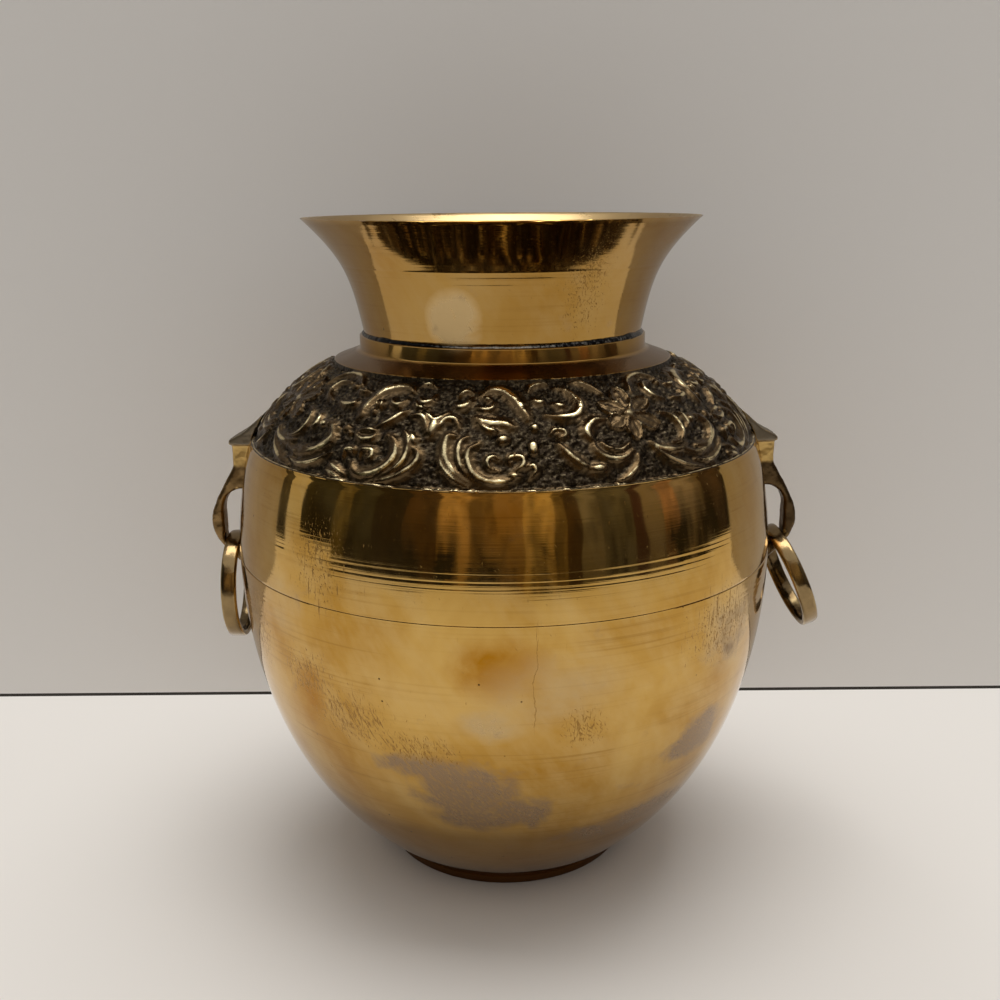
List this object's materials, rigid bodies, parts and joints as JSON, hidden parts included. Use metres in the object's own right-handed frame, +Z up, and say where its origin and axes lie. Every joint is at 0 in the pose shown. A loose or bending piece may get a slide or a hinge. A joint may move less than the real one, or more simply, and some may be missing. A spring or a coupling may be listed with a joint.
{
  "type": "pot",
  "caption": "Round-bellied standing brass pot with a flared neck, an embossed scroll band round the shoulder and a loose ring handle hanging at each side.",
  "frame": {"origin": "on the pot's axis, in the flat underside that it stands on", "axes": "+Z up along the pot's axis, -Y towards the front as pictured, +X to the right, through the right-hand lug"},
  "size_m": [0.1439, 0.1234, 0.15],
  "materials": {
    "polished_brass": "polished cast and turned brass with fine turning lines and grey tarnish patches",
    "dark_brass": "cast brass with a dark brown patina",
    "foot_brass": "cast brass with a dark reddish brown patina",
    "ring_brass": "worn brass band, softly polished",
    "grey_solder": "dull grey soft solder"
  },
  "bodies": {
    "pot": {"foot_disc": "foot_brass", "lower_bowl": "polished_brass", "upper_bowl": "polished_brass", "neck": "polished_brass", "neck_solder": "grey_solder", "lug_left": "dark_brass", "lug_right": "dark_brass"},
    "left_ring": {"ring_left": "ring_brass"},
    "right_ring": {"ring_right": "ring_brass"}
  },
  "joints": [
    {"name": "left_ring_swing", "type": "hinge", "parent": "pot", "child": "left_ring", "pos_m": [-0.06395, 0, 0.0764], "axis": [0, 1, 0], "range_deg": [-5, 160]},
    {"name": "right_ring_swing", "type": "hinge", "parent": "pot", "child": "right_ring", "pos_m": [0.06395, 0, 0.0764], "axis": [0.0872, -0.9962, 0], "range_deg": [-25, 138]}
  ]
}
